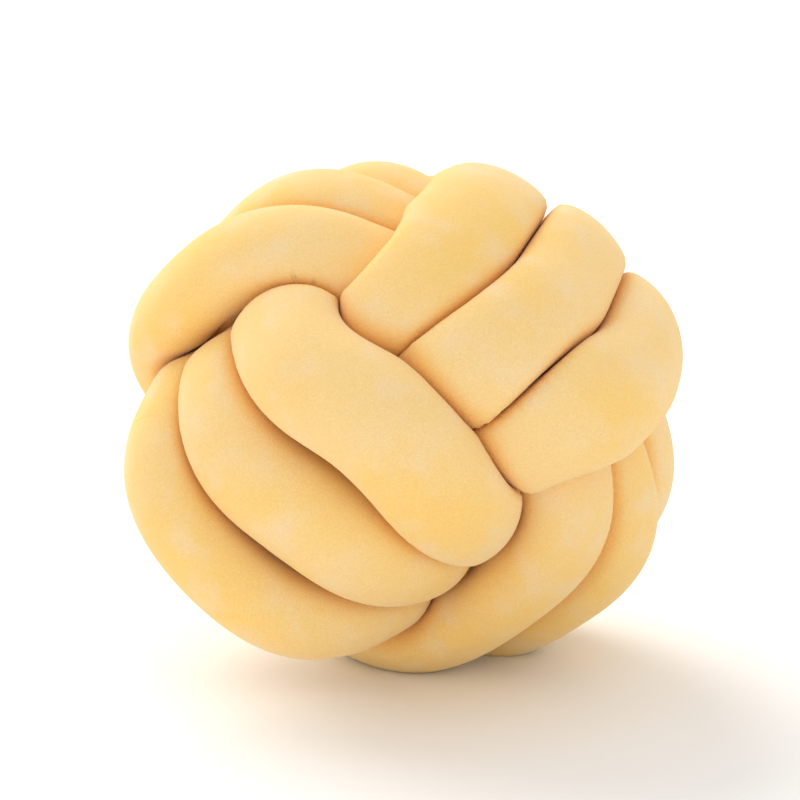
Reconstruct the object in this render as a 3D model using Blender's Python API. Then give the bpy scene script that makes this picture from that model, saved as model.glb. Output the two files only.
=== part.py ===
"""A knot cushion: one long stuffed velvet tube wound into a ball of three crossing bands.

The tube goes three times round the ball in each of three bands, as in a monkey's fist knot. Each
turn passes over two opposite faces of the ball, where it shows, and runs hidden under the next
band on two others. The tube is soft: strands that meet press each other flat, and the girth that
they lose there goes where there is room. Its two ends are closed and tucked inside the ball.
"""
import math

import bpy
import numpy as np
from mathutils import Euler

# Driving dimensions, in metres and degrees.
TUBE_RADIUS = 0.0245          # of the stuffed tube where nothing squeezes it
SWELL = 1.35                  # the roundest radius that a squeezed ring swells to, in TUBE_RADIUS
FLATTEN = 0.10                # how much wider and lower than round a strand lies
STRAND_GAP = 0.0016           # between strands that touch
PINCH_GAP = 0.0024            # how much wider the gap is where strands are only PINCH apart
PINCH = 0.022                 # between the middle lines of strands that squeeze past each other
INNER_PITCH = 0.032           # between the lanes of the hidden runs
LOOP_SQUARENESS = 3.9         # 2 makes a turn an ellipse, more makes it squarer
FAN = 2.0                     # how late a turn's lanes spread on their way out to a face
SHIFT_START = 0.7             # the cosine of the angle at which a turn has its full shift
LANE_SHIFT = 0.7              # the share of a half turn over which the tube changes lanes
CORNER_PULL = 0.55            # the roundness of the bend from band to band, in its own span
END_TUCK = 0.42               # how far each end runs on inside the ball, in half turns
OWN_CLEARANCE = 0.080         # length of tube on each side of a ring that can't press on it
FARTHEST = 0.108              # how far off a strand can still press on a ring
BEND_ROOM = 0.75              # the most of a bend's radius that the tube's inner side takes up
LEAST_RADIUS = 0.002          # how near a ring's wall may come to its middle
PRESS_HARDNESS = 8.0          # how sharply a pressed side turns into a round one
EASE_LENGTH = 0.012           # length of tube over which its bends and its girth even out
END_ROUND = 0.024             # length of each rounded end
END_POLE = 0.02               # how near to the tip the last ring stands, in END_ROUND
FLAT_SINK = 0.008             # how far the ball's weight flattens its lowest strands
BALL_TURN = (-50.1, 13.4, -118.1)   # how the ball lies, as angles about X, Y and Z

# The mesh, along and round the tube, and the steps in which its shape is worked out.
RING_SPACING = 0.0136
RING_SIDES = 12
RING_START = (0.0, 1.0, 0.0)  # square to this and to the tube lies the first ring's first point
ROUTE_SPACING = 0.005
HALF_TURN_STEPS = 60
BEND_STEPS = 30
GIRTH_STEPS = 20
LEAST_SHARE = 0.3             # the least radius tried for a ring's girth, in TUBE_RADIUS
LEAST_FACING = 1e-6           # how squarely a strand must lie to press on a ring, in metres

# Each band's long, short and sideways axes, the angle of its first pass and its winding sense.
BANDS = {
    "first": (0, 1, 2, 0.0, 1),
    "second": (1, 2, 0, math.pi, -1),
    "third": (2, 0, 1, math.pi, 1),
}
PASSES_IN_BAND = 6
# Where each band's stretch of the tube starts and ends, in half turns from its first pass.
BAND_SPANS = (
    ("first", -END_TUCK, PASSES_IN_BAND - 1),
    ("second", 0.0, PASSES_IN_BAND - 1),
    ("third", 0.0, PASSES_IN_BAND - 1 + END_TUCK),
)

# A row for each pass over a face, in the order in which the tube is wound, in metres. Lane is its
# place among the hidden runs. Reach is how far its middle lies from the ball's middle, and span how
# far the runs beside it do. Offset is its sideways place, slant how much it runs across its band
# and shift how far it is pulled along it. Girth is a share of the tube's.
PASSES = {
    "first": (
        # lane, reach, span, offset, slant, shift, girth
        (1, 0.108, 0.061, 0.069, 0.022, -0.002, 1.06),
        (1, 0.106, 0.068, 0.055, 0.0, 0.0, 1.00),
        (0, 0.115, 0.063, 0.000, 0.022, 0.0, 1.05),
        (0, 0.110, 0.068, 0.0, 0.0, 0.0, 1.00),
        (-1, 0.127, 0.072, -0.055, 0.006, 0.0, 0.95),
        (-1, 0.106, 0.068, -0.055, 0.0, 0.0, 1.00),
    ),
    "second": (
        (-1, 0.098, 0.068, -0.050, 0.0, -0.002, 0.85),
        (-1, 0.120, 0.072, -0.056, -0.008, -0.002, 1.12),
        (0, 0.111, 0.065, 0.010, 0.020, 0.002, 0.98),
        (0, 0.131, 0.075, -0.004, 0.009, 0.0, 1.06),
        (1, 0.108, 0.069, 0.069, 0.009, -0.005, 0.90),
        (1, 0.110, 0.097, 0.045, 0.009, -0.008, 0.93),
    ),
    "third": (
        (1, 0.095, 0.068, 0.050, 0.0, 0.0, 1.00),
        (1, 0.118, 0.065, 0.063, 0.004, 0.001, 1.10),
        (0, 0.105, 0.068, 0.0, 0.0, 0.0, 1.00),
        (0.15, 0.110, 0.073, 0.014, 0.013, 0.006, 1.15),
        (-1, 0.100, 0.068, -0.055, 0.0, 0.0, 1.00),
        (-0.9, 0.096, 0.062, -0.036, 0.010, 0.005, 1.15),
    ),
}


def unit(vectors):
    """Scale each vector to a length of one."""
    return vectors / np.linalg.norm(vectors, axis=-1, keepdims=True)


def soft_step(share):
    """Rise from 0 to 1 with level ends."""
    share = np.clip(share, 0.0, 1.0)
    return share ** 3 * (share * (6.0 * share - 15.0) + 10.0)


def lengths_along(points):
    """The length of the line up to each of its points."""
    steps = np.linalg.norm(np.diff(points, axis=0), axis=1)
    return np.concatenate([[0.0], np.cumsum(steps)])


def even_out(values, passes):
    """Ease a line of values towards its neighbours, with its ends held."""
    for _ in range(passes):
        values[1:-1] = (values[:-2] + 2.0 * values[1:-1] + values[2:]) / 4.0
    return values


def band_route(band, start, end):
    """The tube's middle line, with its girth, over part of a band counted in half turns."""
    along, across, sideways, first_angle, sense = BANDS[band]
    table = np.array(PASSES[band])
    steps = int((end - start) * HALF_TURN_STEPS) + 1
    half_turns = np.linspace(start, end, steps)
    before = np.clip(np.floor(half_turns).astype(int), 0, PASSES_IN_BAND - 1)
    after = np.minimum(before + 1, PASSES_IN_BAND - 1)
    share = soft_step((half_turns - before - 0.5) / LANE_SHIFT + 0.5)
    share[half_turns < 0.0] = 0.0
    rows = table[before] * (1.0 - share[:, None]) + table[after] * share[:, None]
    lane, reach, span, offset, slant, shift, girth = rows.T

    angle = first_angle + sense * math.pi * half_turns
    cosine = np.cos(angle)
    sine = np.sin(angle)
    power = LOOP_SQUARENESS
    square = (np.abs(cosine) ** power + np.abs(sine) ** power) ** (-1.0 / power)
    on_face = np.abs(cosine) ** FAN
    pulled = soft_step(np.abs(cosine) / SHIFT_START)
    route = np.zeros((steps, 3))
    route[:, along] = reach * cosine * square
    route[:, across] = span * sine * square + shift * pulled
    route[:, sideways] = lane * INNER_PITCH * (1.0 - on_face) + (offset + slant * sine) * on_face
    return route, girth


def corner_route(leaving, arriving):
    """The bend where the tube turns the ball's corner from one band to the next."""
    start = leaving[-1]
    end = arriving[0]
    pull = np.linalg.norm(end - start) * CORNER_PULL
    out = start + unit(leaving[-1] - leaving[-2]) * pull
    back = end - unit(arriving[1] - arriving[0]) * pull
    t = np.linspace(0.0, 1.0, BEND_STEPS)[1:-1, None]
    s = 1.0 - t
    return start * s ** 3 + 3.0 * out * t * s ** 2 + 3.0 * back * t ** 2 * s + end * t ** 3


def tube_route(spacing):
    """The whole tube's middle line and girth, at an even spacing."""
    route = np.zeros((0, 3))
    girth = np.zeros(0)
    for band, start, end in BAND_SPANS:
        points, shares = band_route(band, start, end)
        if len(route):
            bend = corner_route(route, points)
            route = np.concatenate([route, bend])
            girth = np.concatenate([girth, np.full(len(bend), shares[0])])
        route = np.concatenate([route, points])
        girth = np.concatenate([girth, shares])
    run = lengths_along(route)
    stations = np.linspace(0.0, run[-1], int(round(run[-1] / spacing)) + 1)
    route = np.stack([np.interp(stations, run, route[:, axis]) for axis in range(3)], axis=1)
    girth = np.interp(stations, run, girth)
    reach = max(1, int(round(EASE_LENGTH / spacing)))
    passes = 3 * (reach * reach // 2 + 1)
    return even_out(route, passes), even_out(girth, passes)


def ring_directions(route):
    """Directions from the middle line to a ring's points, carried along without twist."""
    forward = unit(np.gradient(route, axis=0))
    side = np.zeros_like(route)
    side[0] = unit(np.cross(forward[0], RING_START))
    for i in range(1, len(route)):
        carried = side[i - 1] - forward[i] * np.dot(side[i - 1], forward[i])
        side[i] = unit(carried)
    other = np.cross(forward, side)
    angles = np.arange(RING_SIDES) * math.tau / RING_SIDES
    around = np.cos(angles)[None, :, None] * side[:, None]
    around += np.sin(angles)[None, :, None] * other[:, None]
    return forward, around, angles


def room_around(route, forward, around):
    """How far each ring can reach in each direction before it meets a strand or its own bend."""
    others, _ = tube_route(ROUTE_SPACING)
    other_runs = lengths_along(others)
    runs = lengths_along(route)
    runs *= other_runs[-1] / runs[-1]
    bending = np.gradient(forward, axis=0) / np.gradient(runs)[:, None]
    room = np.full(around.shape[:2], FARTHEST)
    for i, middle in enumerate(route):
        away = others - middle
        distance = np.linalg.norm(away, axis=1)
        near = (distance < FARTHEST) & (np.abs(other_runs - runs[i]) > OWN_CLEARANCE)
        if near.any():
            distance = distance[near]
            facing = np.maximum(around[i] @ away[near].T, LEAST_FACING)
            gap = STRAND_GAP + PINCH_GAP * (PINCH / distance) ** 2
            halfway = distance * (distance - gap) / (2.0 * facing)
            room[i] = np.minimum(FARTHEST, halfway.min(axis=1))
        inward = np.maximum(around[i] @ bending[i], BEND_ROOM / FARTHEST)
        room[i] = np.minimum(room[i], BEND_ROOM / inward)
    return np.maximum(room, LEAST_RADIUS)


def ring_shape(route, forward, around):
    """The share of a round ring's radius in each direction, wider than high as a strand lies."""
    outward = route - forward * (route * forward).sum(axis=1)[:, None]
    height = (around * unit(outward)[:, None]).sum(axis=2) ** 2
    return 1.0 + FLATTEN * (1.0 - 2.0 * height)


def pressed(radii, room):
    """Ring radii that follow the given ones but stay within their room."""
    power = PRESS_HARDNESS
    return (radii ** -power + room ** -power) ** (-1.0 / power)


def ring_radii(shape, room, girth, angles):
    """Radii that give every ring the girth of its cloth, as far as SWELL lets it bulge."""
    cloth = math.tau * TUBE_RADIUS * girth
    low = np.full(len(girth), LEAST_SHARE * TUBE_RADIUS)
    high = SWELL * TUBE_RADIUS * girth
    for _ in range(GIRTH_STEPS):
        middle = (low + high) / 2.0
        radii = pressed(middle[:, None] * shape, room)
        corners = radii[:, :, None] * np.stack([np.cos(angles), np.sin(angles)], axis=1)
        perimeter = np.linalg.norm(corners - np.roll(corners, 1, axis=1), axis=2).sum(axis=1)
        too_big = perimeter > cloth
        high = np.where(too_big, middle, high)
        low = np.where(too_big, low, middle)
    reach = max(1, int(round(EASE_LENGTH / RING_SPACING)))
    roundness = even_out((low + high) / 2.0, reach * reach)
    return pressed(roundness[:, None] * shape, room)


def tube_points():
    """The points of every ring, with both ends of the tube rounded off."""
    route, girth = tube_route(RING_SPACING)
    forward, around, angles = ring_directions(route)
    shape = ring_shape(route, forward, around)
    radii = ring_radii(shape, room_around(route, forward, around), girth, angles)
    runs = lengths_along(route)
    from_end = np.clip(np.minimum(runs, runs[-1] - runs) / END_ROUND, END_POLE, 1.0)
    radii *= np.sqrt(1.0 - (1.0 - from_end) ** 2)[:, None]
    return route[:, None] + around * radii[:, :, None]


def settle(points):
    """Turn the ball as it lies, press its flat spot and stand it on the ground at the origin."""
    turn = np.array(Euler([math.radians(angle) for angle in BALL_TURN]).to_matrix())
    points = points @ turn.T
    ground = points[:, 2].min() + FLAT_SINK
    points[:, 2] = np.maximum(points[:, 2], ground)
    low = points.min(axis=0)
    high = points.max(axis=0)
    return points - ((low[0] + high[0]) / 2.0, (low[1] + high[1]) / 2.0, low[2])


def tube_faces(rings):
    """Triangles between neighbouring rings, and a fan over each end."""
    faces = []
    for i in range(rings - 1):
        for j in range(RING_SIDES):
            k = (j + 1) % RING_SIDES
            a = i * RING_SIDES + j
            b = i * RING_SIDES + k
            c = a + RING_SIDES
            d = b + RING_SIDES
            faces.append((a, b, d))
            faces.append((a, d, c))
    last = (rings - 1) * RING_SIDES
    for j in range(1, RING_SIDES - 1):
        faces.append((0, j + 1, j))
        faces.append((last, last + j, last + j + 1))
    return faces


def velvet():
    """Short pile velvet in a pale warm yellow."""
    material = bpy.data.materials.new("velvet")
    material.use_nodes = True
    shader = material.node_tree.nodes["Principled BSDF"]
    shader.inputs["Base Color"].default_value = (0.90, 0.62, 0.24, 1.0)
    shader.inputs["Roughness"].default_value = 0.9
    shader.inputs["Metallic"].default_value = 0.0
    return material


def build_tube():
    """The knotted tube, the cushion's only piece."""
    rings = tube_points()
    points = settle(rings.reshape(-1, 3))
    mesh = bpy.data.meshes.new("knotted_tube")
    mesh.from_pydata(points.tolist(), [], tube_faces(len(rings)))
    mesh.shade_smooth()
    mesh.materials.append(velvet())
    tube = bpy.data.objects.new("knotted_tube", mesh)
    bpy.context.scene.collection.objects.link(tube)
    return tube


def main():
    """Clear the scene and build the cushion."""
    for leftover in list(bpy.data.objects):
        bpy.data.objects.remove(leftover, do_unlink=True)
    build_tube()


main()
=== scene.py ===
"""Looks of the knot cushion: its velvet, the plain floor it lies on, soft light and the camera.

The cushion is one stuffed velvet tube, wound into a ball of three crossing bands. The sleeve is
made here as it is sewn: a flat strip of velvet is cut to the tube's length, rolled round the
tube's route, joined along its seam and closed at both ends. Where strands meet they press each
other flat, and the girth that a ring loses there bulges out where there is room.
"""

import logging
import math
from dataclasses import dataclass, field
from enum import Enum

import bpy
import numpy as np
from mathutils import Euler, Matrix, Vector


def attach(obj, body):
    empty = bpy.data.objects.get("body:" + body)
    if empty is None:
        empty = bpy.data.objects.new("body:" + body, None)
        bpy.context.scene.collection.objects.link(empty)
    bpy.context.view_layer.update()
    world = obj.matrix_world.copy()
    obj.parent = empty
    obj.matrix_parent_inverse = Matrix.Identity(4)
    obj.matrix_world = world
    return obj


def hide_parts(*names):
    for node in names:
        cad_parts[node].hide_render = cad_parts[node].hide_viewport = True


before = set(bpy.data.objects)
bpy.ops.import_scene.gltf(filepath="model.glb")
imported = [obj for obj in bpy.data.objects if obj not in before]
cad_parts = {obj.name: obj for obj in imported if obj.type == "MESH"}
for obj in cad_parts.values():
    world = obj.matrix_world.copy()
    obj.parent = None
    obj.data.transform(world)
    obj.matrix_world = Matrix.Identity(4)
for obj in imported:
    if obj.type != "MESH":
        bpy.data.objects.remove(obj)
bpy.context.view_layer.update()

log = logging.getLogger("knot_cushion")

Colour = tuple[float, float, float, float]
Socket = bpy.types.NodeSocket


class Band(Enum):
    """The three bands of the ball, in the order in which they are wound.

    Each value holds the band's long, short and sideways axes, the angle of its first pass and the
    sense in which it is wound.
    """

    FIRST = (0, 1, 2, 0.0, 1)
    SECOND = (1, 2, 0, math.pi, -1)
    THIRD = (2, 0, 1, math.pi, 1)


PASSES_IN_BAND = 6

# A row for each pass over a face, in the order in which the tube is wound, in metres. Lane is its
# place among the hidden runs. Reach is how far its middle lies from the ball's middle, and span how
# far the runs beside it do. Offset is its sideways place, slant how much it runs across its band
# and shift how far it is pulled along it. Girth is a share of the tube's.
PASSES = {
    Band.FIRST: (
        # lane, reach, span, offset, slant, shift, girth
        (1, 0.108, 0.061, 0.069, 0.022, -0.002, 1.06),
        (1, 0.106, 0.068, 0.055, 0.0, 0.0, 1.00),
        (0, 0.115, 0.063, 0.000, 0.022, 0.0, 1.05),
        (0, 0.110, 0.068, 0.0, 0.0, 0.0, 1.00),
        (-1, 0.127, 0.072, -0.055, 0.006, 0.0, 0.95),
        (-1, 0.106, 0.068, -0.055, 0.0, 0.0, 1.00),
    ),
    Band.SECOND: (
        (-1, 0.098, 0.068, -0.050, 0.0, -0.002, 0.85),
        (-1, 0.120, 0.072, -0.056, -0.008, -0.002, 1.12),
        (0, 0.111, 0.065, 0.010, 0.020, 0.002, 0.98),
        (0, 0.131, 0.075, -0.004, 0.009, 0.0, 1.06),
        (1, 0.108, 0.069, 0.069, 0.009, -0.005, 0.90),
        (1, 0.110, 0.097, 0.045, 0.009, -0.008, 0.93),
    ),
    Band.THIRD: (
        (1, 0.095, 0.068, 0.050, 0.0, 0.0, 1.00),
        (1, 0.118, 0.065, 0.063, 0.004, 0.001, 1.10),
        (0, 0.105, 0.068, 0.0, 0.0, 0.0, 1.00),
        (0.15, 0.110, 0.073, 0.014, 0.013, 0.006, 1.15),
        (-1, 0.100, 0.068, -0.055, 0.0, 0.0, 1.00),
        (-0.9, 0.096, 0.062, -0.036, 0.010, 0.005, 1.15),
    ),
}


def unit(vectors: np.ndarray) -> np.ndarray:
    """Scale each vector to a length of one.

    Args:
        vectors: The vectors, along the last axis.

    Returns:
        The same directions, each with a length of one.
    """
    return vectors / np.linalg.norm(vectors, axis=-1, keepdims=True)


def soft_step(share: np.ndarray) -> np.ndarray:
    """Rise from 0 to 1 with level ends.

    Args:
        share: How far along the rise each value lies. Past its ends the rise stays level.

    Returns:
        The height of the rise at each value.
    """
    share = np.clip(share, 0.0, 1.0)
    return share ** 3 * (share * (6.0 * share - 15.0) + 10.0)


def lengths_along(points: np.ndarray) -> np.ndarray:
    """Measure a line up to each of its points.

    Args:
        points: The points, in order along the line.

    Returns:
        The length of line from its first point to each.
    """
    steps = np.linalg.norm(np.diff(points, axis=0), axis=1)
    return np.concatenate([[0.0], np.cumsum(steps)])


def even_out(values: np.ndarray, rounds: int) -> np.ndarray:
    """Ease a line of values towards its neighbours, with its ends held.

    Args:
        values: The values, in order along the line. They are changed in place.
        rounds: How many times each value moves to the mean of itself and its neighbours.

    Returns:
        The same array.
    """
    for _ in range(rounds):
        values[1:-1] = (values[:-2] + 2.0 * values[1:-1] + values[2:]) / 4.0
    return values


@dataclass(frozen=True)
class Winding:
    """How the tube's middle line is wound, in metres and in half turns of a band.

    Attributes:
        inner_pitch: The distance between the hidden runs of a band.
        squareness: The power of the rounded square that a band follows round the ball.
        fan: How late the strands leave their hidden lanes to spread over a face.
        shift_start: Where on a face a pass is pulled to its full shift, as the angle's cosine.
        lane_shift: The part of a half turn in which one pass changes into the next.
        end_tuck: How far each hidden end runs on past the outermost pass, in half turns.
        corner_pull: How far the tube runs straight on into a corner, as a share of its width.
        ease_length: The length of tube over which kinks are eased out.
        corner_steps: The points in a corner's bend, with both ends.
        steps_per_half_turn: The points in each half turn.
    """

    inner_pitch: float = 0.032
    squareness: float = 3.9
    fan: float = 2.0
    shift_start: float = 0.7
    lane_shift: float = 0.7
    end_tuck: float = 0.42
    corner_pull: float = 0.55
    ease_length: float = 0.012
    corner_steps: int = 30
    steps_per_half_turn: int = 60

    def band(self, band: Band, start: float, end: float) -> tuple[np.ndarray, np.ndarray]:
        """Trace the tube over part of one band.

        Args:
            band: The band.
            start: Where the part starts, in half turns from the band's first pass.
            end: Where it ends.

        Returns:
            The points of the middle line, and the tube's girth at each as a share.
        """
        along, across, sideways, first_angle, sense = band.value
        table = np.array(PASSES[band])
        steps = int((end - start) * self.steps_per_half_turn) + 1
        half_turns = np.linspace(start, end, steps)
        before = np.clip(np.floor(half_turns).astype(int), 0, PASSES_IN_BAND - 1)
        after = np.minimum(before + 1, PASSES_IN_BAND - 1)
        share = soft_step((half_turns - before - 0.5) / self.lane_shift + 0.5)
        share[half_turns < 0.0] = 0.0
        rows = table[before] * (1.0 - share[:, None]) + table[after] * share[:, None]
        lane, reach, span, offset, slant, shift, girth = rows.T

        angle = first_angle + sense * math.pi * half_turns
        cosine = np.cos(angle)
        sine = np.sin(angle)
        power = self.squareness
        square = (np.abs(cosine) ** power + np.abs(sine) ** power) ** (-1.0 / power)
        on_face = np.abs(cosine) ** self.fan
        pulled = soft_step(np.abs(cosine) / self.shift_start)
        hidden = lane * self.inner_pitch
        route = np.zeros((steps, 3))
        route[:, along] = reach * cosine * square
        route[:, across] = span * sine * square + shift * pulled
        route[:, sideways] = hidden * (1.0 - on_face) + (offset + slant * sine) * on_face
        return route, girth

    def corner(self, leaving: np.ndarray, arriving: np.ndarray) -> np.ndarray:
        """Bend the tube round the ball's corner, from one band to the next.

        Args:
            leaving: The middle line so far.
            arriving: The start of the next band's middle line.

        Returns:
            The points between the two.
        """
        start = leaving[-1]
        end = arriving[0]
        pull = np.linalg.norm(end - start) * self.corner_pull
        out = start + unit(leaving[-1] - leaving[-2]) * pull
        back = end - unit(arriving[1] - arriving[0]) * pull
        share = np.linspace(0.0, 1.0, self.corner_steps)[1:-1, None]
        rest = 1.0 - share
        leading = start * rest ** 3 + 3.0 * out * share * rest ** 2
        return leading + 3.0 * back * share ** 2 * rest + end * share ** 3

    def route(self, spacing: float) -> tuple[np.ndarray, np.ndarray]:
        """Trace the whole tube at an even spacing.

        Args:
            spacing: The length of tube between points, in metres.

        Returns:
            The points of the middle line, and the tube's girth at each as a share.
        """
        last = PASSES_IN_BAND - 1
        spans = (
            (Band.FIRST, -self.end_tuck, last),
            (Band.SECOND, 0.0, last),
            (Band.THIRD, 0.0, last + self.end_tuck),
        )
        route = np.zeros((0, 3))
        girth = np.zeros(0)
        for band, start, end in spans:
            points, shares = self.band(band, start, end)
            if len(route):
                bend = self.corner(route, points)
                route = np.concatenate([route, bend])
                girth = np.concatenate([girth, np.full(len(bend), shares[0])])
            route = np.concatenate([route, points])
            girth = np.concatenate([girth, shares])
        run = lengths_along(route)
        stations = np.linspace(0.0, run[-1], int(round(run[-1] / spacing)) + 1)
        route = np.stack([np.interp(stations, run, route[:, axis]) for axis in range(3)], axis=1)
        girth = np.interp(stations, run, girth)
        reach = max(1, int(round(self.ease_length / spacing)))
        rounds = 3 * (reach * reach // 2 + 1)
        return even_out(route, rounds), even_out(girth, rounds)


@dataclass
class StuffedTube:
    """The knotted velvet tube, the cushion's only piece. Sizes are in metres and degrees.

    Attributes:
        winding: How the tube's middle line is wound.
        radius: The stuffed tube's radius where nothing presses it.
        swell: How far a ring may bulge past that radius, as a share of it.
        flatten: How much wider than high a free ring is, as a share of its radius.
        farthest: How far away another strand is still looked for.
        strand_gap: The gap kept between two strands.
        own_clearance: The length of tube on each side of a ring that doesn't press it.
        bend_room: How far a ring reaches into its own bend, as a share of the bend's radius.
        least_radius: The least distance from the middle line to the cloth.
        press_hardness: How sharply a ring turns flat where it meets a strand.
        neighbour_spacing: The distance between the points that stand for the other strands.
        least_facing: The least distance that counts as facing another strand.
        end_round: The length of tube over which each end closes.
        end_pole: How open the last ring stays before the end is closed, as a share.
        flat_sink: How deep the flat spot is pressed that the ball rests on.
        ball_turn: How the ball is turned as it lies, about X, Y and Z.
        crease_reach: How far from a crease the painted warm shade reaches, as a share of the radius.
        weld: The distance within which the strip's two long edges join.
        ring_spacing: The distance between rings.
        ring_sides: The points in a ring.
        girth_steps: How often each ring's size is halved in on.
        least_share: The smallest radius tried for a ring, as a share of the tube's.
        strip_width: The width of the flat strip, set by build.
        strip_length: The length of the flat strip, set by build.
        middle: The ball's middle as it lies, set by settle.
    """

    winding: Winding
    radius: float = 0.0245
    swell: float = 1.35
    flatten: float = 0.10
    farthest: float = 0.108
    strand_gap: float = 0.0004
    own_clearance: float = 0.080
    bend_room: float = 0.9
    least_radius: float = 0.002
    press_hardness: float = 11.0
    neighbour_spacing: float = 0.005
    least_facing: float = 1e-6
    end_round: float = 0.026
    end_pole: float = 0.004
    flat_sink: float = 0.008
    ball_turn: tuple[float, float, float] = (-50.1, 13.4, -118.1)
    crease_reach: float = 0.25
    weld: float = 1e-7
    ring_spacing: float = 0.0034
    ring_sides: int = 56
    girth_steps: int = 20
    least_share: float = 0.3
    strip_width: float = field(init=False)
    strip_length: float = field(init=False)
    middle: Vector = field(init=False)

    def ring_frame(self, route: np.ndarray) -> tuple[np.ndarray, np.ndarray]:
        """Carry each ring's directions along the tube without twist.

        Args:
            route: The points of the middle line.

        Returns:
            The direction of the line at each point, and those from it to the ring's points.
        """
        forward = unit(np.gradient(route, axis=0))
        side = np.zeros_like(route)
        side[0] = unit(np.cross(forward[0], (0.0, 1.0, 0.0)))
        for i in range(1, len(route)):
            side[i] = unit(side[i - 1] - forward[i] * np.dot(side[i - 1], forward[i]))
        other = np.cross(forward, side)
        angles = self.angles()
        out = np.cos(angles)[None, :, None] * side[:, None]
        return forward, out + np.sin(angles)[None, :, None] * other[:, None]

    def angles(self) -> np.ndarray:
        """Space the points of a ring evenly.

        Returns:
            The angle of each point, in radians.
        """
        return np.arange(self.ring_sides) * math.tau / self.ring_sides

    def room(self, route: np.ndarray, forward: np.ndarray, around: np.ndarray) -> np.ndarray:
        """Measure how far each ring can reach before it meets a strand or its own bend.

        Args:
            route: The points of the middle line.
            forward: The direction of the line at each point.
            around: The directions to each ring's points.

        Returns:
            The room in each of those directions.
        """
        others, _ = self.winding.route(self.neighbour_spacing)
        other_runs = lengths_along(others)
        runs = lengths_along(route)
        runs *= other_runs[-1] / runs[-1]
        bending = np.gradient(forward, axis=0) / np.gradient(runs)[:, None]
        far = self.farthest
        room = np.full(around.shape[:2], far)
        for i, middle in enumerate(route):
            away = others - middle
            squared = (away ** 2).sum(axis=1)
            near = (squared < far ** 2) & (np.abs(other_runs - runs[i]) > self.own_clearance)
            if near.any():
                distance = np.sqrt(squared[near])
                facing = np.maximum(around[i] @ away[near].T, self.least_facing)
                reach = distance * (distance - self.strand_gap) / (2.0 * facing)
                room[i] = np.minimum(far, reach.min(axis=1))
            inward = np.maximum(around[i] @ bending[i], self.bend_room / far)
            room[i] = np.minimum(room[i], self.bend_room / inward)
        return np.maximum(room, self.least_radius)

    def shape(self, route: np.ndarray, forward: np.ndarray, around: np.ndarray) -> np.ndarray:
        """Make each ring wider than high, as a strand lies that is drawn onto the ball.

        Args:
            route: The points of the middle line.
            forward: The direction of the line at each point.
            around: The directions to each ring's points.

        Returns:
            The share of a round ring's radius in each of those directions.
        """
        outward = route - forward * (route * forward).sum(axis=1)[:, None]
        height = (around * unit(outward)[:, None]).sum(axis=2) ** 2
        return 1.0 + self.flatten * (1.0 - 2.0 * height)

    def pressed(self, roundness: np.ndarray, room: np.ndarray) -> np.ndarray:
        """Keep rings within their room.

        Args:
            roundness: The distance of each ring point from the middle line if nothing presses.
            room: The room in each of those directions.

        Returns:
            The distance of each ring point from the middle line.
        """
        power = self.press_hardness
        return (roundness ** -power + room ** -power) ** (-1.0 / power)

    def radii(self, shape: np.ndarray, room: np.ndarray, girth: np.ndarray) -> np.ndarray:
        """Give every ring the girth of its cloth, as far as the swell lets it bulge.

        Args:
            shape: The share of a round ring's radius in each direction of each ring.
            room: The room in each of those directions.
            girth: The girth of each ring, as a share of the tube's.

        Returns:
            The distance of each ring point from the middle line.
        """
        angles = self.angles()
        cloth = math.tau * self.radius * girth
        low = np.full(len(girth), self.least_share * self.radius)
        high = self.swell * self.radius * girth
        for _ in range(self.girth_steps):
            middle = (low + high) / 2.0
            radii = self.pressed(middle[:, None] * shape, room)
            corners = radii[:, :, None] * np.stack([np.cos(angles), np.sin(angles)], axis=1)
            perimeter = np.linalg.norm(corners - np.roll(corners, 1, axis=1), axis=2).sum(axis=1)
            too_big = perimeter > cloth
            high = np.where(too_big, middle, high)
            low = np.where(too_big, low, middle)
        reach = max(1, int(round(self.winding.ease_length / self.ring_spacing)))
        roundness = even_out((low + high) / 2.0, reach * reach)
        return self.pressed(roundness[:, None] * shape, room)

    def settle(self, points: np.ndarray) -> np.ndarray:
        """Turn the ball as it lies, press its flat spot and stand it on the ground.

        Args:
            points: The points of the knot round its own middle.

        Returns:
            The points as the cushion lies, with its outline centred on the origin.
        """
        turn = np.array(Euler([math.radians(angle) for angle in self.ball_turn]).to_matrix())
        points = points @ turn.T
        ground = points[:, 2].min() + self.flat_sink
        points[:, 2] = np.maximum(points[:, 2], ground)
        low = points.min(axis=0)
        high = points.max(axis=0)
        self.middle = Vector((-(low[0] + high[0]) / 2.0, -(low[1] + high[1]) / 2.0, -low[2]))
        return points + np.array(self.middle)

    def strip(self, rings: int) -> bpy.types.Object:
        """Cut the flat strip of velvet, with a row of points for each ring.

        Args:
            rings: The number of rings that it is rolled into.

        Returns:
            The strip, with a UV map in its own width and length.
        """
        bpy.ops.mesh.primitive_grid_add(
            x_subdivisions=self.ring_sides, y_subdivisions=rings - 1, size=1.0
        )
        strip = bpy.context.object
        strip.name = "velvet_tube"
        strip.data.name = "velvet_tube"
        return strip

    def build(self) -> bpy.types.Object:
        """Cut the strip, roll it round the route, sew its seam and close its ends.

        Returns:
            The finished tube, as one closed mesh at the origin.
        """
        route, girth = self.winding.route(self.ring_spacing)
        forward, around = self.ring_frame(route)
        room = self.room(route, forward, around)
        radii = self.radii(self.shape(route, forward, around), room, girth)
        runs = lengths_along(route)
        from_end = np.minimum(runs, runs[-1] - runs) / self.end_round
        from_end = np.clip(from_end, self.end_pole, 1.0)
        radii *= np.sqrt(1.0 - (1.0 - from_end) ** 2)[:, None]
        points = route[:, None] + around * radii[:, :, None]
        points = self.settle(points.reshape(-1, 3)).reshape(points.shape)

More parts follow.
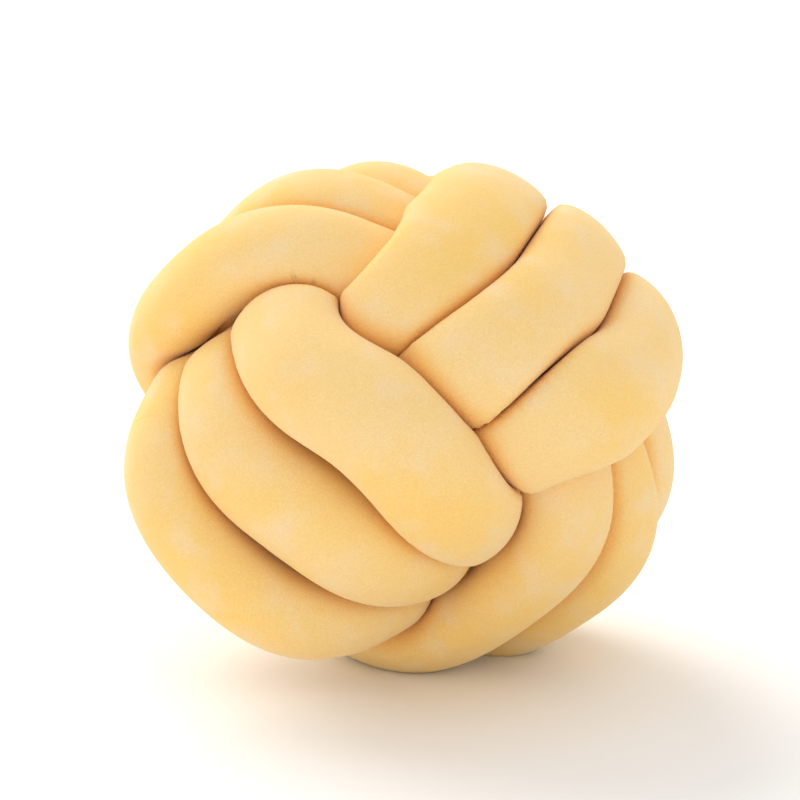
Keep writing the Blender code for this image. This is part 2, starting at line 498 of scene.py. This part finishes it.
        self.strip_width = math.tau * self.radius
        self.strip_length = float(runs[-1])
        tube = self.strip(len(route))
        mesh = tube.data
        flat = np.empty(len(mesh.vertices) * 3)
        mesh.vertices.foreach_get("co", flat)
        flat = flat.reshape(-1, 3)
        column = np.rint((flat[:, 0] + 0.5) * self.ring_sides).astype(int) % self.ring_sides
        row = np.rint((flat[:, 1] + 0.5) * (len(route) - 1)).astype(int)
        self.mark_creases(mesh, (room / radii)[row, column])
        mesh.vertices.foreach_set("co", points[row, column].ravel())
        self.sew(tube)
        log.info("velvet_tube: %d rings along %.2f m of tube", len(route), runs[-1])
        return tube

    def mark_creases(self, mesh: bpy.types.Mesh, slack: np.ndarray) -> None:
        """Mark how near each point lies to a crease, from 0 on an open crown to 1; the velvet paints
        warm shade into its colour by this mark.

        Args:
            mesh: The strip.
            slack: Each point's room as a share of its distance from the middle line.
        """
        crease = np.clip(1.0 - (slack - 1.0) / self.crease_reach, 0.0, 1.0)
        attribute = mesh.attributes.new("crease", "FLOAT", "POINT")
        attribute.data.foreach_set("value", crease)

    def sew(self, tube: bpy.types.Object) -> None:
        """Join the strip's long edges, close its ends and turn its faces outwards.

        Args:
            tube: The rolled strip.
        """
        bpy.context.view_layer.objects.active = tube
        bpy.ops.object.mode_set(mode="EDIT")
        bpy.ops.mesh.select_all(action="SELECT")
        bpy.ops.mesh.remove_doubles(threshold=self.weld)
        bpy.ops.mesh.select_all(action="DESELECT")
        bpy.ops.mesh.select_non_manifold(extend=False)
        bpy.ops.mesh.edge_face_add()
        bpy.ops.mesh.select_all(action="SELECT")
        bpy.ops.mesh.normals_make_consistent(inside=False)
        bpy.ops.object.mode_set(mode="OBJECT")
        bpy.ops.object.shade_smooth()


@dataclass(frozen=True)
class Tuck:
    """A small fold in the velvet, in metres and degrees.

    Attributes:
        across: Its place as a share of the strip's width.
        along: Its place as a share of the strip's length, from the tube's start.
        length: Half its length.
        width: Half its width.
        turn: How much it leans.
        depth: The strength of its relief.
    """

    across: float
    along: float
    length: float
    width: float
    turn: float
    depth: float


# Two puckers over the crease of an upper strand, the seam of a sleeve's length round a lower strand,
# and a pucker that hangs from that seam.
TUCKS = (
    Tuck(across=0.412, along=0.6134, length=0.0065, width=0.0016, turn=-24.0, depth=0.9),
    Tuck(across=0.412, along=0.6153, length=0.0040, width=0.0013, turn=-8.0, depth=0.9),
    Tuck(across=0.500, along=0.2493, length=0.2000, width=0.0010, turn=0.0, depth=0.25),
    Tuck(across=0.190, along=0.2486, length=0.0040, width=0.0014, turn=35.0, depth=0.6),
)


class ColourBlend:
    """The colour sockets of a blend node, which share their names with its other kinds."""

    def __init__(self, node: bpy.types.Node) -> None:
        """Find the node's colour sockets.

        Args:
            node: The blend node.
        """
        self.under, self.over = (socket for socket in node.inputs if socket.type == "RGBA")
        self.result = next(socket for socket in node.outputs if socket.type == "RGBA")


@dataclass(frozen=True)
class NodeKit:
    """The kinds of shading node that the velvet uses, added to one material's tree."""

    tree: bpy.types.NodeTree

    def add(self, kind: str) -> bpy.types.Node:
        """Add a node.

        Args:
            kind: Its kind.

        Returns:
            The node.
        """
        return self.tree.nodes.new(kind)

    def join(self, source: Socket, target: Socket) -> None:
        """Link two sockets.

        Args:
            source: The output.
            target: The input that it feeds.
        """
        self.tree.links.new(source, target)

    def noise(self, place: Socket, scale: float, detail: float) -> Socket:
        """Add a noise pattern.

        Args:
            place: Where on the piece the pattern is read.
            scale: How many patterns there are to the metre.
            detail: How many finer layers it has.

        Returns:
            The pattern's value, from 0 to 1.
        """
        noise = self.add("ShaderNodeTexNoise")
        noise.inputs["Scale"].default_value = scale
        noise.inputs["Detail"].default_value = detail
        self.join(place, noise.inputs["Vector"])
        return noise.outputs["Fac"]

    def ramp(self, value: Socket, low: float, high: float) -> Socket:
        """Stretch the part of a value between two limits to run from 0 to 1.

        Args:
            value: The value.
            low: The limit that becomes 0.
            high: The limit that becomes 1.

        Returns:
            The stretched value, with level ends.
        """
        ramp = self.add("ShaderNodeMapRange")
        ramp.interpolation_type = "SMOOTHSTEP"
        ramp.inputs["From Min"].default_value = low
        ramp.inputs["From Max"].default_value = high
        self.join(value, ramp.inputs["Value"])
        return ramp.outputs["Result"]

    def blend(self, share: Socket) -> ColourBlend:
        """Add a blend of two colours.

        Args:
            share: How much of the second colour shows, from 0 to 1.

        Returns:
            The blend's colour sockets.
        """
        blend = self.add("ShaderNodeMix")
        blend.data_type = "RGBA"
        self.join(share, blend.inputs["Factor"])
        return ColourBlend(blend)

    def bump(self, height: Socket, strength: float, depth: float, under: Socket | None) -> Socket:
        """Add a relief over the ones before it.

        Args:
            height: The relief's height, from 0 to 1.
            strength: How much of it shows.
            depth: How far apart a height of 0 and one of 1 are, in metres.
            under: The normal of the relief that it lies on, or None for bare cloth.

        Returns:
            The normal of both.
        """
        bump = self.add("ShaderNodeBump")
        bump.inputs["Strength"].default_value = strength
        bump.inputs["Distance"].default_value = depth
        self.join(height, bump.inputs["Height"])
        if under is not None:
            self.join(under, bump.inputs["Normal"])
        return bump.outputs["Normal"]


@dataclass(frozen=True)
class Velvet:
    """Short pile velvet in a pale warm yellow, with warm shade painted into its creases.

    Scales are in patterns to the metre, depths in metres. A range holds the two limits of the part
    of a pattern that runs from none of a colour to all of it.

    Attributes:
        strip_width: The width of the flat strip that is dressed.
        strip_length: Its length.
    """

    strip_width: float
    strip_length: float
    crown: Colour = (0.93, 0.65, 0.28, 1.0)
    deep: Colour = (0.94, 0.62, 0.20, 1.0)
    pale: Colour = (0.91, 0.68, 0.40, 1.0)
    # fold is painted shade: the darker orange that the velvet turns in the creases, where little
    # light reaches.
    fold: Colour = (0.96, 0.55, 0.17, 1.0)
    roughness: float = 0.95
    specular: float = 0.1
    sheen: float = 0.35
    sheen_roughness: float = 0.4
    sheen_tint: Colour = (1.0, 0.94, 0.80, 1.0)
    patch_scale: float = 14.0
    patch_detail: float = 3.0
    patch_range: tuple[float, float] = (0.40, 0.68)
    brushed_scale: float = 42.0
    brushed_detail: float = 2.0
    brushed_range: tuple[float, float] = (0.42, 0.90)
    crease_shade_range: tuple[float, float] = (0.0, 1.3)
    grain_scale: float = 900.0
    grain_detail: float = 2.0
    grain_shade: float = 0.10
    pile_scale: float = 1400.0
    pile_detail: float = 2.0
    pile_strength: float = 0.5
    pile_depth: float = 0.0006
    lump_scale: float = 34.0
    lump_detail: float = 1.0
    lump_strength: float = 0.35
    lump_depth: float = 0.004
    tuck_depth: float = 0.0009

    def dress(self, piece: bpy.types.Object) -> None:
        """Make the velvet and put it on a piece.

        Args:
            piece: The piece, with its crease attribute and the UV map of its flat strip.
        """
        material = bpy.data.materials.new("pale_yellow_velvet")
        material.use_nodes = True
        kit = NodeKit(material.node_tree)
        shader = material.node_tree.nodes["Principled BSDF"]
        shader.inputs["Roughness"].default_value = self.roughness
        shader.inputs["Specular IOR Level"].default_value = self.specular
        shader.inputs["Sheen Weight"].default_value = self.sheen
        shader.inputs["Sheen Roughness"].default_value = self.sheen_roughness
        shader.inputs["Sheen Tint"].default_value = self.sheen_tint
        place = kit.add("ShaderNodeTexCoord").outputs["Object"]
        kit.join(self.colour(kit, place), shader.inputs["Base Color"])
        kit.join(self.relief(kit, place), shader.inputs["Normal"])
        piece.data.materials.clear()
        piece.data.materials.append(material)
        log.info("pale_yellow_velvet: on %s, with %d small folds", piece.name, len(TUCKS))

    def colour(self, kit: NodeKit, place: Socket) -> Socket:
        """Colour the pile in brushed patches, with painted warm shade in the creases, and a fine
        grain.

        Args:
            kit: The material's nodes.
            place: Where on the piece the patterns are read.

        Returns:
            The colour.
        """
        patches = kit.noise(place, self.patch_scale, self.patch_detail)
        cloth = kit.blend(kit.ramp(patches, *self.patch_range))
        cloth.under.default_value = self.crown
        cloth.over.default_value = self.deep

        brushed = kit.noise(place, self.brushed_scale, self.brushed_detail)
        lighter = kit.blend(kit.ramp(brushed, *self.brushed_range))
        kit.join(cloth.result, lighter.under)
        lighter.over.default_value = self.pale

        # Painted shade: the crease attribute blends in the darker orange fold colour where strands
        # press together.
        crease = kit.add("ShaderNodeAttribute")
        crease.attribute_name = "crease"
        crease_shaded = kit.blend(kit.ramp(crease.outputs["Fac"], *self.crease_shade_range))
        kit.join(lighter.result, crease_shaded.under)
        crease_shaded.over.default_value = self.fold

        shade = kit.add("ShaderNodeMapRange")
        shade.inputs["To Min"].default_value = 1.0 - self.grain_shade
        shade.inputs["To Max"].default_value = 1.0 + self.grain_shade
        kit.join(kit.noise(place, self.grain_scale, self.grain_detail), shade.inputs["Value"])
        grained = kit.add("ShaderNodeHueSaturation")
        kit.join(shade.outputs["Result"], grained.inputs["Value"])
        kit.join(crease_shaded.result, grained.inputs["Color"])
        return grained.outputs["Color"]

    def relief(self, kit: NodeKit, place: Socket) -> Socket:
        """Raise the soft lumps of the stuffing, the small folds and the pile.

        Args:
            kit: The material's nodes.
            place: Where on the piece the patterns are read.

        Returns:
            The normal.
        """
        lumps = kit.noise(place, self.lump_scale, self.lump_detail)
        normal = kit.bump(lumps, self.lump_strength, self.lump_depth, None)
        for tuck in TUCKS:
            normal = kit.bump(self.tuck_height(kit, tuck), tuck.depth, self.tuck_depth, normal)
        pile = kit.noise(place, self.pile_scale, self.pile_detail)
        return kit.bump(pile, self.pile_strength, self.pile_depth, normal)

    def tuck_height(self, kit: NodeKit, tuck: Tuck) -> Socket:
        """Lower the cloth along a small fold.

        Args:
            kit: The material's nodes.
            tuck: The fold.

        Returns:
            A height that falls from 1 outside the fold to 0 in its middle.
        """
        strip = kit.add("ShaderNodeUVMap")
        strip.uv_map = "UVMap"
        from_fold = kit.add("ShaderNodeMapping")
        from_fold.vector_type = "TEXTURE"
        from_fold.inputs["Location"].default_value = (tuck.across, tuck.along, 0.0)
        in_metres = kit.add("ShaderNodeMapping")
        in_metres.inputs["Scale"].default_value = (self.strip_width, self.strip_length, 1.0)
        leaning = kit.add("ShaderNodeVectorRotate")
        leaning.rotation_type = "Z_AXIS"
        leaning.inputs["Angle"].default_value = math.radians(tuck.turn)
        in_folds = kit.add("ShaderNodeVectorMath")
        in_folds.operation = "DIVIDE"
        in_folds.inputs[1].default_value = (tuck.length, tuck.width, 1.0)
        apart = kit.add("ShaderNodeVectorMath")
        apart.operation = "LENGTH"
        kit.join(strip.outputs["UV"], from_fold.inputs["Vector"])
        kit.join(from_fold.outputs["Vector"], in_metres.inputs["Vector"])
        kit.join(in_metres.outputs["Vector"], leaning.inputs["Vector"])
        kit.join(leaning.outputs["Vector"], in_folds.inputs[0])
        kit.join(in_folds.outputs["Vector"], apart.inputs[0])
        return kit.ramp(apart.outputs["Value"], 0.0, 1.0)


@dataclass(frozen=True)
class Paper:
    """The plain white paper of the floor."""

    colour: Colour = (0.95, 0.95, 0.95, 1.0)
    roughness: float = 0.9

    def dress(self, piece: bpy.types.Object) -> None:
        """Make the paper and put it on a piece.

        Args:
            piece: The piece.
        """
        material = bpy.data.materials.new("white_paper")
        material.use_nodes = True
        shader = material.node_tree.nodes["Principled BSDF"]
        shader.inputs["Base Color"].default_value = self.colour
        shader.inputs["Roughness"].default_value = self.roughness
        piece.data.materials.append(material)


@dataclass
class Studio:
    """The plain floor, the soft light and the camera. Sizes are in metres and degrees.

    Attributes:
        middle: The cushion's middle, which the camera looks at.
        floor_size: The floor's width.
        air_strength: The strength of the even light from all round.
        air_colour: Its colour.
        key_strength: The strength of the large light from behind on the left.
        key_width: How wide that light looks from the cushion.
        key_from: The direction it comes from.
        key_colour: Its colour.
        camera_elevation: How far above the level the camera looks down from.
        camera_distance: How far it stands from the cushion's middle.
        lens: Its focal length in millimetres.
        sensor: The width of its sensor in millimetres.
        aim: How far its view is shifted sideways and up, as shares of its width.
    """

    middle: Vector
    floor_size: float = 400.0
    air_strength: float = 0.90
    air_colour: Colour = (1.0, 1.0, 1.0, 1.0)
    key_strength: float = 2.1
    key_width: float = 50.0
    key_from: tuple[float, float, float] = (-1.0, 1.35, 1.4)
    key_colour: tuple[float, float, float] = (1.0, 0.97, 0.92)
    camera_elevation: float = 12.0
    camera_distance: float = 1.044
    lens: float = 88.2
    sensor: float = 36.0
    aim: tuple[float, float] = (0.004, 0.002)

    def build(self) -> None:
        """Lay the floor, hang the light and set the camera."""
        bpy.context.scene.view_settings.view_transform = "Standard"
        self.lay_floor()
        self.hang_light()
        self.set_camera()

    def lay_floor(self) -> None:
        """Lay a white floor under the cushion."""
        bpy.ops.mesh.primitive_plane_add(size=self.floor_size, location=(0.0, 0.0, 0.0))
        floor = bpy.context.object
        floor.name = "studio_floor"
        Paper().dress(floor)
        log.info("studio_floor laid")

    def hang_light(self) -> None:
        """Light the air of the studio evenly, with a large soft light above and behind."""
        world = bpy.data.worlds.new("studio_air")
        world.use_nodes = True
        air = world.node_tree.nodes["Background"]
        air.inputs["Color"].default_value = self.air_colour
        air.inputs["Strength"].default_value = self.air_strength
        bpy.context.scene.world = world
        sun = bpy.data.lights.new("back_left_softbox", "SUN")
        sun.energy = self.key_strength
        sun.angle = math.radians(self.key_width)
        sun.color = self.key_colour
        lamp = bpy.data.objects.new("back_left_softbox", sun)
        lamp.location = self.key_from
        lamp.rotation_euler = (-Vector(self.key_from)).to_track_quat("-Z", "Y").to_euler()
        bpy.context.scene.collection.objects.link(lamp)

    def set_camera(self) -> None:
        """Stand the camera in front, a little above the cushion's middle."""
        elevation = math.radians(self.camera_elevation)
        back = Vector((0.0, -math.cos(elevation), math.sin(elevation)))
        data = bpy.data.cameras.new("camera")
        data.sensor_width = self.sensor
        data.lens = self.lens
        data.shift_x, data.shift_y = self.aim
        camera = bpy.data.objects.new("camera", data)
        camera.location = self.middle + back * self.camera_distance
        camera.rotation_euler = (-back).to_track_quat("-Z", "Y").to_euler()
        bpy.context.scene.collection.objects.link(camera)
        bpy.context.scene.camera = camera


def main() -> None:
    """Build the cushion and its studio, and report each piece."""
    logging.basicConfig(level=logging.INFO, format="%(name)s: %(message)s")
    bpy.ops.object.select_all(action="DESELECT")
    cushion = StuffedTube(Winding())
    tube = cushion.build()
    Velvet(cushion.strip_width, cushion.strip_length).dress(tube)
    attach(tube, "root")
    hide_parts("knotted_tube")
    Studio(cushion.middle).build()


if __name__ == "__main__":
    main()
